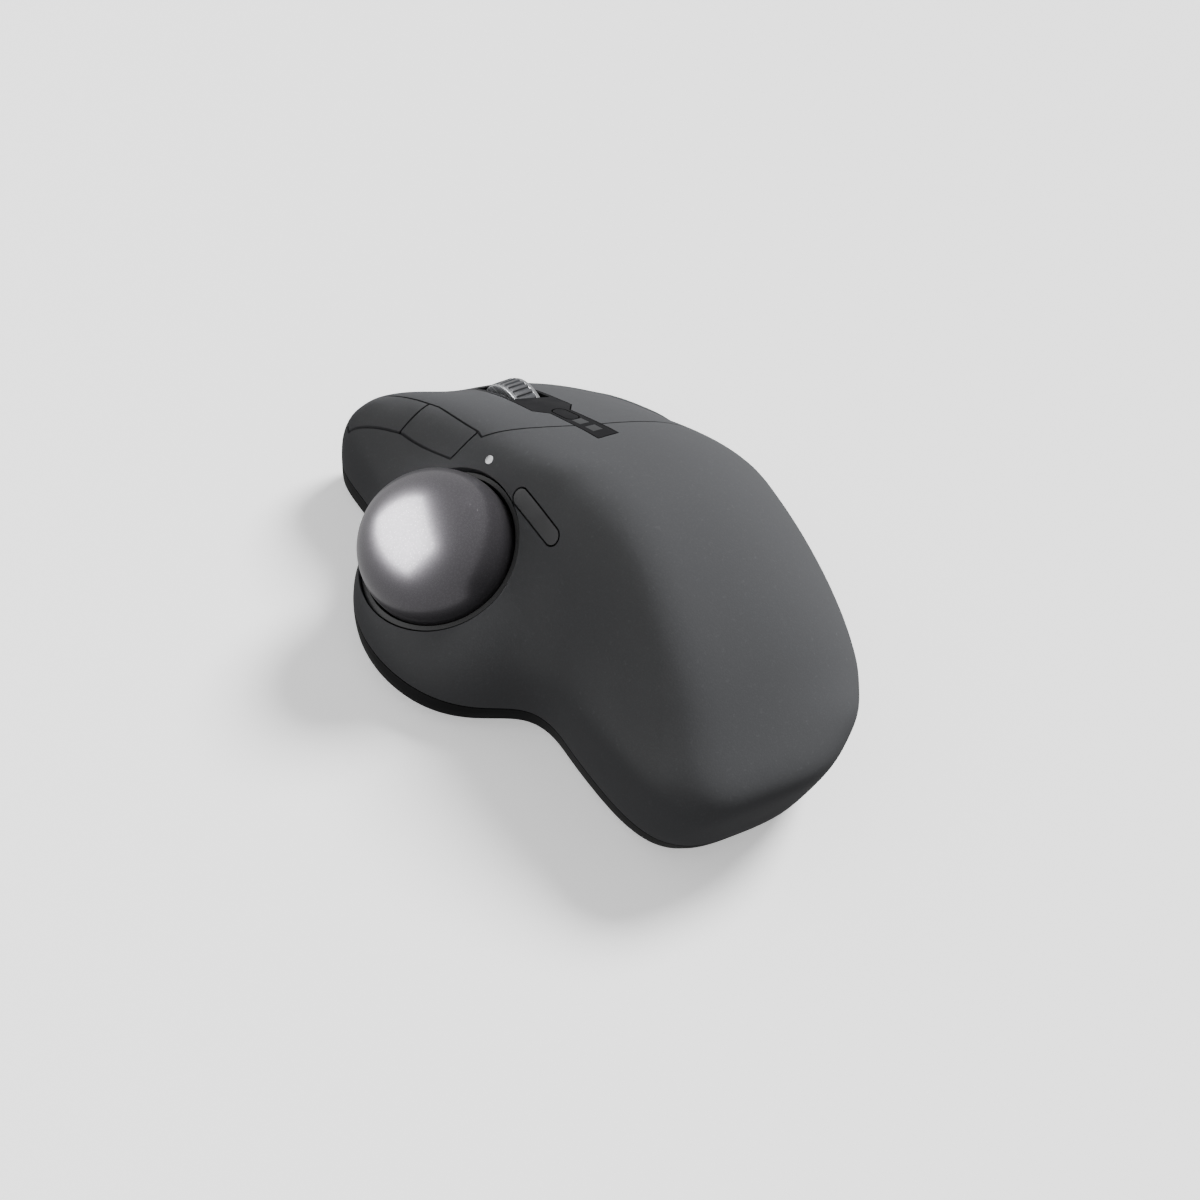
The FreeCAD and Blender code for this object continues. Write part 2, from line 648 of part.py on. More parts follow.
save("ball_sensor", slab(BALL, LOOK, look_side, look_up, 20.25, 22.4, 4.0, 4.0))
save("sensor_board", slab(BALL, LOOK, look_side, look_up, 22.4, 23.6, 6.0, 5.0))

# ---------------------------------------------------------------- keys
def main_key(region, arms, web_y, rib_x):
    """One main key: its shell, two hinge arms and the rib that meets its switch."""
    key = wall.common(column(region, -KEY_GAP, KEY_FLOOR + 1.3))
    for x in arms:
        left = x - ARM_HALF
        arm = rod(V(left, KEY_HINGE_Y, KEY_HINGE_Z), V(x + ARM_HALF, KEY_HINGE_Y, KEY_HINGE_Z), ARM_R)
        bar = [V(left, KEY_HINGE_Y, KEY_HINGE_Z - ARM_R), V(left, web_y + 5, KEY_HINGE_Z + 0.5),
               V(left, web_y + 5, 60), V(left, web_y, 60), V(left, web_y, KEY_HINGE_Z + 3.5),
               V(left, KEY_HINGE_Y, KEY_HINGE_Z + ARM_R)]
        bar.append(bar[0])
        web = Part.Face(Part.makePolygon(bar)).extrude(X * (2 * ARM_HALF))
        key = key.fuse(arm.fuse(web).common(lining))
    rib = box(rib_x - 1.0, rib_x + 1.0, SWITCH_Y - 1.5, SWITCH_Y + 1.5, PLUNGER_TOP, 60)
    key = key.fuse(rib.common(lining))
    bore = rod(V(-30, KEY_HINGE_Y, KEY_HINGE_Z), V(60, KEY_HINGE_Y, KEY_HINGE_Z), ROD_R + RUN)
    return key.cut(bore).removeSplitter()


save("left_key", main_key(left_region, KEY_ARMS_LEFT, 31, LEFT_SWITCH_X))
save("right_key", main_key(right_region, KEY_ARMS_RIGHT, 24, RIGHT_SWITCH_X))

SIDE_KEYS = [("back", back_region, -15.8, 43.0), ("forward", forward_region, -19.0, 53.5)]
for name, region, x, y in SIDE_KEYS:
    key = wall.common(column(region, -KEY_GAP, KEY_FLOOR + 0.7))
    key = key.fuse(box(x - 1, x + 1, y - 1, y + 1, SIDE_STEM_LOW, 60).common(lining))
    save(name + "_key", key.removeSplitter())

DEVICE = V(STRIP_X, DEVICE_Y, 0)
device_zone = capsule(V(DEVICE.x, DEVICE.y, 40), Y, X, DEVICE_LEN, DEVICE_WIDE, 12)
strip = wall.common(column(strip_region, -0.1, KEY_FLOOR + 0.1))
flange = inner.cut(core)
strip = strip.fuse(flange.common(box(STRIP_X - 3, STRIP_X + 3, 11.5, 18, 30, 60)))
strip = strip.fuse(flange.common(box(STRIP_X - 4, STRIP_X + 4, 55, 70, 14.5, 20)))
strip = strip.cut(capsule(V(DEVICE.x, DEVICE.y, 40), Y, X, DEVICE_LEN + DEVICE_PLAY,
                          DEVICE_WIDE + DEVICE_PLAY, 12))
strip = strip.cut(rod(WHEEL - X * WELL_HALF, WHEEL + X * WELL_HALF, WELL_R))
for name, y in LENSES:
    lens_box = box(STRIP_X - LENS_HALF[0], STRIP_X + LENS_HALF[0], y - LENS_HALF[1], y + LENS_HALF[1],
                   TOP_BOARD_Z + 1.6, 60)
    strip = strip.cut(lens_box)
    save(name, lens_box.common(outer))
save("centre_strip", strip.removeSplitter())
device = wall.common(device_zone)
device = device.fuse(rod(V(DEVICE.x, DEVICE.y, 33.9), V(DEVICE.x, DEVICE.y, 60), 1.2).common(lining))
save("device_key", device.removeSplitter())

precision = wall.common(capsule(PRECISION, precision_along, precision_across, PRECISION_LEN,
                                PRECISION_WIDE, 5))
precision = precision.fuse(rod(PRECISION - precision_out * 3.6, PRECISION - precision_out * 1.2, 1.2))
save("precision_key", precision.removeSplitter())
save("precision_switch",
     slab(PRECISION, precision_out, precision_along, precision_across, -5.9, -4.2, 2.3, 2.3))
save("precision_board",
     slab(PRECISION, precision_out, precision_along, precision_across, -7.0, -5.9, 6.5, 3.5))
save("status_light", rod(LIGHT - light_out * 3.5, LIGHT + light_out * 0.05, LIGHT_R))
save("status_led", rod(LIGHT - light_out * 4.8, LIGHT - light_out * 3.5, 1.3))

# ---------------------------------------------------------------- wheel and its frames
def frame_ring(half_in, half_out, y_in, y_out):
    """Rectangular ring round the wheel, open in the middle."""
    ring_out = box(STRIP_X - half_out, STRIP_X + half_out, WHEEL.y - y_out[0], WHEEL.y + y_out[1],
                   FRAME_LOW, FRAME_HIGH)
    return ring_out.cut(box(STRIP_X - half_in, STRIP_X + half_in, WHEEL.y - y_in[0], WHEEL.y + y_in[1],
                            FRAME_LOW - 1, FRAME_HIGH + 1))


axle_ends = WHEEL - X * 5.6, WHEEL + X * 8.0
axle = rod(axle_ends[0], axle_ends[1], AXLE_R)
hub = rod(WHEEL - X * WHEEL_HALF, WHEEL + X * WHEEL_HALF, WHEEL_R - 2.2)
hub = hub.cut(rod(WHEEL - X * 4, WHEEL + X * 4, AXLE_R))
tyre = rod(WHEEL - X * (WHEEL_HALF - 0.9), WHEEL + X * (WHEEL_HALF - 0.9), WHEEL_R)
tyre = tyre.cut(rod(WHEEL - X * 4, WHEEL + X * 4, WHEEL_R - 2.2))
save("wheel_hub", hub)
save("wheel_tyre", tyre)
for name, side in (("wheel_rim_left", -1), ("wheel_rim_right", 1)):
    save(name, ring(WHEEL + X * (side * (WHEEL_HALF - 0.45)), X, WHEEL_R - 0.25, WHEEL_R - 2.2, 0.9))
save("wheel_axle", axle)

yoke = frame_ring(YOKE_IN, YOKE_OUT, (10.8, 10.8), (12.4, 12.4))
for side in (-1, 1):
    x0, x1 = sorted((STRIP_X + side * YOKE_IN, STRIP_X + side * YOKE_OUT))
    yoke = yoke.fuse(box(x0, x1, WHEEL.y - 4, WHEEL.y + 4, FRAME_LOW, WHEEL.z + 2.4))
tilt_low = V(STRIP_X, WHEEL.y - 14.4, TILT_Z)
tilt_high = V(STRIP_X, WHEEL.y + 13.4, TILT_Z)
yoke = yoke.fuse(rod(tilt_low, V(STRIP_X, WHEEL.y - 12, TILT_Z), TILT_PIN_R))
yoke = yoke.fuse(rod(V(STRIP_X, WHEEL.y + 12, TILT_Z), tilt_high, TILT_PIN_R))
yoke = yoke.cut(rod(axle_ends[0] - X, axle_ends[1], AXLE_R + RUN))
save("tilt_yoke", yoke.removeSplitter())
encoder = box(STRIP_X + YOKE_OUT, STRIP_X + 8.6, WHEEL.y - 4, WHEEL.y + 2.6, 18.0, 24.2)
save("wheel_encoder", encoder.cut(rod(axle_ends[0], axle_ends[1] + X, AXLE_R + RUN)))

press = frame_ring(PRESS_IN, PRESS_OUT, (12.9, 12.6), (21.6, 13.4))
press = press.fuse(box(STRIP_X - 6.4, STRIP_X + 6.4, WHEEL.y - 14.4, WHEEL.y - 12.9, FRAME_LOW, FRAME_HIGH))
press = press.cut(box(STRIP_X - PRESS_IN, STRIP_X + PRESS_IN, WHEEL.y - 20.0, WHEEL.y - 14.4, 10, 20))
press = press.cut(rod(tilt_low - Y, tilt_high + Y, TILT_PIN_R + RUN))
for side in (-1, 1):
    inner_end = V(STRIP_X + side * 7.6, PRESS_Y, TILT_Z)
    press = press.fuse(rod(inner_end, V(STRIP_X + side * 10.0, PRESS_Y, TILT_Z), PRESS_PIN_R))
save("press_frame", press.removeSplitter())

mount = box(STRIP_X - 10.2, STRIP_X + 10.2, 20.0, 21.6, BOARD_TOP, 17.5)
for side in (-1, 1):
    x0, x1 = sorted((STRIP_X + side * 8.2, STRIP_X + side * 10.2))
    mount = mount.fuse(box(x0, x1, 20.0, PRESS_Y + 3, BOARD_TOP, 17.5))
mount = mount.cut(rod(V(STRIP_X - 20, PRESS_Y, TILT_Z), V(STRIP_X + 20, PRESS_Y, TILT_Z), PRESS_PIN_R + RUN))
save("wheel_mount", mount.removeSplitter())
save("wheel_switch", box(STRIP_X - 8.4, STRIP_X - 5.8, 48, 51, BOARD_TOP, BOARD_TOP + 0.9))

# ---------------------------------------------------------------- boards, switches and power
board = prism([(-4, -42), (23, -42), (30, -30), (30, 34), (26, 50), (13, 50), (13, 59), (0, 59), (0, 50),
               (-9, 50), (-9, 33), (-4, 26)], BOARD_Z, BOARD_TOP)
board = board.cut(box(STRIP_X - 5.0, STRIP_X + 5.0, WHEEL.y - 9.6, WHEEL.y + 9.6, 10, 13))
for x, y in BOARD_SCREWS:
    board = board.cut(rod(V(x, y, 9), V(x, y, 13), 1.3))
save("main_board", board)


def screw(x, y, head_z, tip_z, head_r, shank_r):
    """Pan-head screw, head at one height and tip at another."""
    way = 1 if tip_z > head_z else -1
    head = rod(V(x, y, head_z), V(x, y, head_z + HEAD_T * way), head_r)
    shaft = rod(V(x, y, head_z), V(x, y, tip_z), shank_r)
    slot = box(x - head_r, x + head_r, y - 0.3, y + 0.3, min(head_z, head_z + 0.5 * way),
               max(head_z, head_z + 0.5 * way))
    return head.fuse(shaft).cut(slot).removeSplitter()


save("board_screws", *[screw(x, y, BOARD_TOP + HEAD_T, BOARD_TIP_Z, BOARD_HEAD_R, BOARD_SHANK_R)
                       for x, y in BOARD_SCREWS])
save("case_screws", *[screw(x, y, CASE_HEAD_Z, CASE_TIP_Z, CASE_HEAD_R, CASE_SHANK_R)
                      for x, y, side in CASE_SCREWS])

for name, x in (("left", LEFT_SWITCH_X), ("right", RIGHT_SWITCH_X)):
    housing = box(x - 2.9, x + 2.9, SWITCH_Y - 3.2, SWITCH_Y + 9.6, BOARD_TOP, SWITCH_TOP)
    housing = housing.cut(box(x - 1.2, x + 1.2, SWITCH_Y - 1.6, SWITCH_Y + 1.6, PLUNGER_LOW - 0.6, 19))
    save(name + "_switch", housing)
    save(name + "_plunger", box(x - 0.9, x + 0.9, SWITCH_Y - 1.3, SWITCH_Y + 1.3, PLUNGER_LOW,
                               PLUNGER_TOP))

side_board = box(-21, -12, 38, 54.8, SIDE_BOARD_Z, SIDE_BOARD_TOP)
save("side_board", side_board)
for name, region, x, y in SIDE_KEYS:
    low = SIDE_BOARD_TOP
    tact = box(x - 2.2, x + 2.2, y - 2.2, y + 2.2, low, low + 1.6)
    save(name + "_switch", tact.fuse(rod(V(x, y, low), V(x, y, low + 2.2), 1.0)).removeSplitter())

top_board = box(STRIP_X - 3.0, STRIP_X + 3.0, 17.6, 33.4, TOP_BOARD_Z, TOP_BOARD_Z + TOP_BOARD_T)
save("top_board", top_board)
device_low = TOP_BOARD_Z + TOP_BOARD_T
save("device_switch", box(DEVICE.x - 1.8, DEVICE.x + 1.8, DEVICE.y - 1.8, DEVICE.y + 1.8, device_low,
                          device_low + 1.7))
save("indicator_leds", *[box(STRIP_X - 0.8, STRIP_X + 0.8, y - 0.8, y + 0.8, device_low, TOP_BOARD_Z + 1.6)
                         for name, y in LENSES])
save("top_board_posts", *[rod(V(x, 27, BOARD_TOP), V(x, 27, TOP_BOARD_Z), 1.5) for x in (4.8, 8.2)])

port_wide, port_high = PORT_HALF
port = box(PORT.x - port_wide, PORT.x + port_wide, PORT_Y[0], PORT_Y[1], PORT.z - port_high,
           PORT.z + port_high)
port = port.cut(box(PORT.x - port_wide + PORT_WALL, PORT.x + port_wide - PORT_WALL, PORT_Y[0] + 0.6,
                    PORT_Y[1] + 1, PORT.z - port_high + PORT_WALL, PORT.z + port_high - PORT_WALL))
port = port.fuse(box(PORT.x - 2.6, PORT.x + 2.6, PORT_Y[0] + 0.3, PORT_Y[1] - 0.6, PORT.z - 0.3,
                     PORT.z + 0.3))
save("charge_port", port.removeSplitter())

knob_y = SWITCH_AT.y - KNOB_TRAVEL / 2
knob = box(SWITCH_AT.x - KNOB_HALF, SWITCH_AT.x + KNOB_HALF, knob_y - KNOB_HALF, knob_y + KNOB_HALF,
           KNOB_LOW, KNOB_COLLAR_Z)
for k in (-1, 0, 1):
    knob = knob.cut(box(SWITCH_AT.x - 2.5, SWITCH_AT.x + 2.5, knob_y + k * 1.2 - 0.25,
                        knob_y + k * 1.2 + 0.25, 3, KNOB_LOW + 0.3))
knob = knob.fuse(box(SWITCH_AT.x - 3.4, SWITCH_AT.x + 3.4, knob_y - 3.4, knob_y + 3.4, KNOB_COLLAR_Z, 6.0))
knob = knob.fuse(box(SWITCH_AT.x - 0.8, SWITCH_AT.x + 0.8, knob_y - 0.8, knob_y + 0.8, 6.0, 7.8))
save("power_slider", knob.removeSplitter())
switch_body = box(SWITCH_AT.x - 2.2, SWITCH_AT.x + 2.2, SWITCH_AT.y - 4.5, SWITCH_AT.y + 4.5, 6.4, BOARD_Z)
save("power_switch", switch_body.cut(box(SWITCH_AT.x - 1.1, SWITCH_AT.x + 1.1, SWITCH_AT.y - 2.7,
                                         SWITCH_AT.y + 2.7, 6, 8.2)))

tray = box(-9, 25, -38, 9, 17.4, 22).cut(box(-7.8, 23.8, -36.8, 7.8, 18.6, 23))
for x in (-2.4, 21.4):
    for y in (-30, 6):
        tray = tray.fuse(rod(V(x, y, BOARD_TOP), V(x, y, 18), 1.5))
save("battery_tray", tray.removeSplitter())
cell = box(-7.2, 23.2, -36, 7, 18.65, 24.6)
save("battery", cell.makeFillet(1.2, cell.Edges))
save("hold_magnets", *[rod(V(9, y, 5.0), V(9, y, 7.2), 4.0) for y in (4, -18)])
save("processor_chip", box(8, 16, 8, 16, BOARD_TOP, BOARD_TOP + 1.0))
save("battery_connector", box(24, 28.5, 10, 16, BOARD_TOP, BOARD_TOP + 3.2))
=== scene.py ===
import json
import math

import bmesh
import bpy
from mathutils import Matrix, Vector


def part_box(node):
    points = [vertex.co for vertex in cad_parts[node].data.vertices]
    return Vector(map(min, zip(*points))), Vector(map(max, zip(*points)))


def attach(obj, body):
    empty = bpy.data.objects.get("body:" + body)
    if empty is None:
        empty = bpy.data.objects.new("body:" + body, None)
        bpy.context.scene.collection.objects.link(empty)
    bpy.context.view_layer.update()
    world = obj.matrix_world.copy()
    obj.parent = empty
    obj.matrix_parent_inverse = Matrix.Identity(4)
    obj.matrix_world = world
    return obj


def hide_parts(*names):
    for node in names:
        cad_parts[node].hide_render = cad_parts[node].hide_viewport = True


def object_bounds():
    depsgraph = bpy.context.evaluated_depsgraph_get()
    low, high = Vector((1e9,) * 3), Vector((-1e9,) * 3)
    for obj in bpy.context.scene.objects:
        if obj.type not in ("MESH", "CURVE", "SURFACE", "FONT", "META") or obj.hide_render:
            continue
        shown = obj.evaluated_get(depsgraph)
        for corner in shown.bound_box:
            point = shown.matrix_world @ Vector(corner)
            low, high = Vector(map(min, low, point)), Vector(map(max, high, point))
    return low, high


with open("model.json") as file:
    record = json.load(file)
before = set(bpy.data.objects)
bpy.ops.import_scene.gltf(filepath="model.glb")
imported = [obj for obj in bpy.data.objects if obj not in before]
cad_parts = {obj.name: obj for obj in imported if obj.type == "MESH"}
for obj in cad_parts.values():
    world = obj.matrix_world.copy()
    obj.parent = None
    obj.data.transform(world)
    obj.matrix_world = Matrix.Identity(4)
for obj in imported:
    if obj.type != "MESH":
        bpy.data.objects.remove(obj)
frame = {"nodes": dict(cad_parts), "record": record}

bl_info = {
    "name": "Thumb trackball mouse",
    "version": (1, 0, 0),
    "blender": (4, 5, 0),
    "location": "3D View > Sidebar > Trackball",
    "description": "Finishes and small pieces of a thumb-operated trackball mouse",
    "category": "Object",
}

CAD_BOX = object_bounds()
MM = 0.001

# Modelling
BALL_LEVELS = 6               # times each face of the cube is split before it is rounded out
FACES_PER_RIB = 4             # two on the rib, two in the gap beside it
TYRE_SEAT = 2 * MM            # how far the tyre reaches in below the rims' edge
RIB_ROUND = 0.1 * MM
RIM_ROUND = 0.25 * MM
STATUS_ROUND = 0.2 * MM
INDICATOR_ROUND = 0.1 * MM
PAD_ROUND_RATIO = 3           # the soft pad's edge is rounder than the knob's
EASED_SEGMENTS = 2
MERGE_WITHIN = 0.002 * MM
TYRE_EDGE_ANGLE = math.radians(35)
COPY_EDGE_ANGLE = math.radians(40)
COPY_SMOOTH_ANGLE = math.radians(30)

# Moulded surfaces
HAND_SCALE = 28.0
GLOSS_HAND_SCALE = 60.0
DUST_LIGHTENS = 1.25
GRAIN_DEPTH = 0.06 * MM
HAIRLINE_DEPTH = 0.02 * MM

# Stage
FLOOR_GAP = 0.02 * MM         # keeps the floor off the pad's own face
FLOOR_WHITE = 0.90
FLOOR_GLOW = 0.5
WORLD_STRENGTH = 0.48
SUN_PLACE = (0.68, 0.17, 0.70)
SUN_ENERGY = 7.2
SUN_ANGLE = math.radians(22)
SOFTBOX_PLACE = (-0.54, 0.22, 0.38)
SOFTBOX_SIZE = (1.45, 1.00)
SOFTBOX_POWER = 80.0
LIGHT_AIM = (0, 0, 0.02)

# Camera: rear left, from above, a little rolled
CAMERA_AZIMUTH = math.radians(44)
CAMERA_ELEVATION = math.radians(46)
CAMERA_ROLL = math.radians(14)
CAMERA_DISTANCE = 0.600
CAMERA_LENS = 85.0
CAMERA_SENSOR = 36.0
CAMERA_CLIP = 0.01
# Where the frame's centre is from the ball's centre, along the view's right and up, in metres.
CAMERA_AIM = (0.03452, -0.01101)

EFFECTS = {}                  # shared shader groups, by a plain name
FINISHES = {}                 # materials, by the name of their slot


# ---------------------------------------------------------------- sizes and colours
class TrackballSizes(bpy.types.PropertyGroup):
    """Sizes of the pieces that are modelled here."""

    rib_count: bpy.props.IntProperty(
        name="Tyre ribs", description="Number of ribs round the scroll wheel's tyre", default=36, min=12)
    rib_height: bpy.props.FloatProperty(
        name="Rib height", description="How far each rib stands out of the tyre",
        default=0.45 * MM, subtype="DISTANCE", unit="LENGTH")
    edge_round: bpy.props.FloatProperty(
        name="Moulded edge",
        description="Rounding of the slider knob's edges; the pad's are three times it",
        default=0.12 * MM, subtype="DISTANCE", unit="LENGTH")
    floor_half: bpy.props.FloatProperty(
        name="Floor", description="Half the width of the floor",
        default=1.6, subtype="DISTANCE", unit="LENGTH")


class TrackballColours(bpy.types.PropertyGroup):
    """Colours of the visible pieces."""

    graphite: bpy.props.FloatVectorProperty(
        name="Graphite", description="Soft-touch cover and keys", subtype="COLOR", size=3,
        default=(0.062, 0.063, 0.066))
    black: bpy.props.FloatVectorProperty(
        name="Black", description="Lower case and socket", subtype="COLOR", size=3,
        default=(0.007, 0.007, 0.0075))
    pearl: bpy.props.FloatVectorProperty(
        name="Pearl", description="The ball", subtype="COLOR", size=3, default=(0.150, 0.143, 0.156))
    silver: bpy.props.FloatVectorProperty(
        name="Silver", description="The scroll wheel's rims", subtype="COLOR", size=3,
        default=(0.72, 0.73, 0.75))


# ---------------------------------------------------------------- shared surface effects
def group_tree(name, inputs, outputs):
    """Empty shader group with float inputs and outputs, and its two end nodes."""
    tree = bpy.data.node_groups.new(name, "ShaderNodeTree")
    for label, value in inputs:
        socket = tree.interface.new_socket(label, in_out="INPUT", socket_type="NodeSocketFloat")
        socket.default_value = value
    for label in outputs:
        tree.interface.new_socket(label, in_out="OUTPUT", socket_type="NodeSocketFloat")
    return tree, tree.nodes.new("NodeGroupInput"), tree.nodes.new("NodeGroupOutput")


def on_object(tree, kind, scale):
    """Texture node on the object's own coordinates; the scale is a number or a socket."""
    where = tree.nodes.new("ShaderNodeTexCoord")
    texture = tree.nodes.new(kind)
    tree.links.new(where.outputs["Object"], texture.inputs["Vector"])
    if isinstance(scale, float):
        texture.inputs["Scale"].default_value = scale
    else:
        tree.links.new(scale, texture.inputs["Scale"])
    return texture


def object_noise(tree, scale, detail, roughness):
    """Noise on the object's own coordinates."""
    noise = on_object(tree, "ShaderNodeTexNoise", scale)
    noise.inputs["Detail"].default_value = detail
    noise.inputs["Roughness"].default_value = roughness
    return noise


def spread(tree, value, low, high, out_low, out_high):
    """Map a value from one range to another, held at both ends."""
    node = tree.nodes.new("ShaderNodeMapRange")
    for key, number in (("From Min", low), ("From Max", high), ("To Min", out_low), ("To Max", out_high)):
        node.inputs[key].default_value = number
    tree.links.new(value, node.inputs["Value"])
    return node.outputs["Result"]


def build_moulded_grain():
    """Fine moulded texture: a height for bump and a mask of its hollows."""
    tree, given, result = group_tree("Moulded grain", [("Scale", 2600.0)], ["Height", "Hollows"])
    cells = on_object(tree, "ShaderNodeTexVoronoi", given.outputs["Scale"])
    noise = object_noise(tree, given.outputs["Scale"], 2.0, 0.6)
    mix = tree.nodes.new("ShaderNodeMath")
    mix.operation = "MULTIPLY_ADD"
    mix.inputs[1].default_value = 0.45
    tree.links.new(cells.outputs["Distance"], mix.inputs[0])
    tree.links.new(noise.outputs["Fac"], mix.inputs[2])
    tree.links.new(mix.outputs[0], result.inputs["Height"])
    tree.links.new(spread(tree, mix.outputs[0], 0.35, 0.75, 1.0, 0.0), result.inputs["Hollows"])
    return tree


def build_handling():
    """Soft patches where hands polish a surface, and faint dust between them."""
    tree, given, result = group_tree("Handling", [("Scale", HAND_SCALE)], ["Polish", "Dust"])
    patches = object_noise(tree, given.outputs["Scale"], 3.0, 0.55)
    specks = object_noise(tree, 900.0, 4.0, 0.7)
    tree.links.new(spread(tree, patches.outputs["Fac"], 0.38, 0.66, 0.0, 1.0), result.inputs["Polish"])
    tree.links.new(spread(tree, specks.outputs["Fac"], 0.60, 0.78, 0.0, 1.0), result.inputs["Dust"])
    return tree


def build_brushing():
    """Long fine scratches along one axis."""
    tree, given, result = group_tree("Brushing", [("Fineness", 1.0)], ["Scratch"])
    where = tree.nodes.new("ShaderNodeTexCoord")
    stretch = tree.nodes.new("ShaderNodeMapping")
    stretch.inputs["Scale"].default_value = (2600.0, 40.0, 2600.0)
    noise = tree.nodes.new("ShaderNodeTexNoise")
    noise.inputs["Detail"].default_value = 3.0
    tree.links.new(given.outputs["Fineness"], noise.inputs["Scale"])
    tree.links.new(where.outputs["Object"], stretch.inputs["Vector"])
    tree.links.new(stretch.outputs["Vector"], noise.inputs["Vector"])
    tree.links.new(spread(tree, noise.outputs["Fac"], 0.3, 0.7, 0.0, 1.0), result.inputs["Scratch"])
    return tree


def effect(material, name, inputs=()):
    """Place a shared effect in a material, with its own values."""
    node = material.node_tree.nodes.new("ShaderNodeGroup")
    node.node_tree = EFFECTS[name]
    for label, value in inputs:
        node.inputs[label].default_value = value
    return node


def new_finish(name, **constants):
    """Material with one Principled shader, its constant values set on its own sockets."""
    material = bpy.data.materials.new(name)
    material.use_nodes = True
    shader = material.node_tree.nodes["Principled BSDF"]
    for label, value in constants.items():
        shader.inputs[label.replace("_", " ")].default_value = value
    return material, shader


def two_colours(material, shader, mask, first, second):
    """Base colour that goes from one colour to another by a mask."""
    tree = material.node_tree
    mix = tree.nodes.new("ShaderNodeMix")
    mix.data_type = "RGBA"
    mix.inputs[6].default_value = (*first, 1)
    mix.inputs[7].default_value = (*second, 1)
    tree.links.new(mask, mix.inputs[0])
    tree.links.new(mix.outputs[2], shader.inputs["Base Color"])


def bumps(material, shader, height, strength, distance):
    """Relief on a finish, from a height."""
    tree = material.node_tree
    bump = tree.nodes.new("ShaderNodeBump")
    bump.inputs["Strength"].default_value = strength
    bump.inputs["Distance"].default_value = distance
    tree.links.new(height, bump.inputs["Height"])
    tree.links.new(bump.outputs["Normal"], shader.inputs["Normal"])


def shade_of(colour, factor):
    """A lighter or darker shade of a colour."""
    return tuple(channel * factor for channel in colour)


def moulded(name, colour, rough, grain_scale, grain, **constants):
    """Moulded plastic: fine grain, polished patches and a trace of dust."""
    material, shader = new_finish(name, **constants)
    tree = material.node_tree
    texture = effect(material, "grain", [("Scale", grain_scale)])
    hands = effect(material, "handling", [("Scale", HAND_SCALE)])
    mask = tree.nodes.new("ShaderNodeMath")
    mask.operation = "MULTIPLY_ADD"
    mask.inputs[1].default_value = 0.35
    tree.links.new(texture.outputs["Hollows"], mask.inputs[0])
    tree.links.new(hands.outputs["Dust"], mask.inputs[2])
    two_colours(material, shader, mask.outputs[0], colour, shade_of(colour, DUST_LIGHTENS))
    tree.links.new(spread(tree, hands.outputs["Polish"], 0.0, 1.0, rough + 0.05, rough - 0.06),
                   shader.inputs["Roughness"])
    bumps(material, shader, texture.outputs["Height"], grain, GRAIN_DEPTH)
    return material


def polished(name, colour, rough, **constants):
    """Smooth glossy finish with faint finger marks."""
    material, shader = new_finish(name, **constants)
    tree = material.node_tree
    hands = effect(material, "handling", [("Scale", GLOSS_HAND_SCALE)])
    two_colours(material, shader, hands.outputs["Polish"], shade_of(colour, 0.94), shade_of(colour, 1.06))
    tree.links.new(spread(tree, hands.outputs["Polish"], 0.0, 1.0, rough * 1.3, rough * 0.8),
                   shader.inputs["Roughness"])
    return material


def metal(name, colour, rough):
    """Bare metal with fine scratches."""
    material, shader = new_finish(name, Metallic=1.0)
    tree = material.node_tree
    lines = effect(material, "brushing")
    two_colours(material, shader, lines.outputs["Scratch"], shade_of(colour, 0.85), colour)
    tree.links.new(spread(tree, lines.outputs["Scratch"], 0.0, 1.0, rough + 0.08, rough - 0.04),
                   shader.inputs["Roughness"])
    bumps(material, shader, lines.outputs["Scratch"], 0.25, HAIRLINE_DEPTH)
    return material


def pearl_ball(colour):
    """Pearl finish: fine flake in a clear coat."""
    material, shader = new_finish("Pearl ball", Coat_Weight=0.3, Coat_Roughness=0.12, Metallic=0.8)
    tree = material.node_tree
    flakes = on_object(tree, "ShaderNodeTexVoronoi", 2200.0)
    mask = spread(tree, flakes.outputs["Distance"], 0.1, 0.6, 1.0, 0.0)
    two_colours(material, shader, mask, shade_of(colour, 0.86), shade_of(colour, 1.1))
    tree.links.new(spread(tree, mask, 0.0, 1.0, 0.33, 0.27), shader.inputs["Roughness"])
    bumps(material, shader, flakes.outputs["Distance"], 0.03, HAIRLINE_DEPTH)
    return material


def lit_window(name, colour, glow):
    """Cloudy light window, with a faint glow where its light is on."""
    material, shader = new_finish(name, Roughness=0.35, Coat_Weight=0.1)
    tree = material.node_tree
    cloud = object_noise(tree, 700.0, 2.0, 0.5)
    two_colours(material, shader, cloud.outputs["Fac"], shade_of(colour, 0.8), colour)
    shader.inputs["Emission Strength"].default_value = glow
    shader.inputs["Emission Color"].default_value = (*colour, 1)
    return material


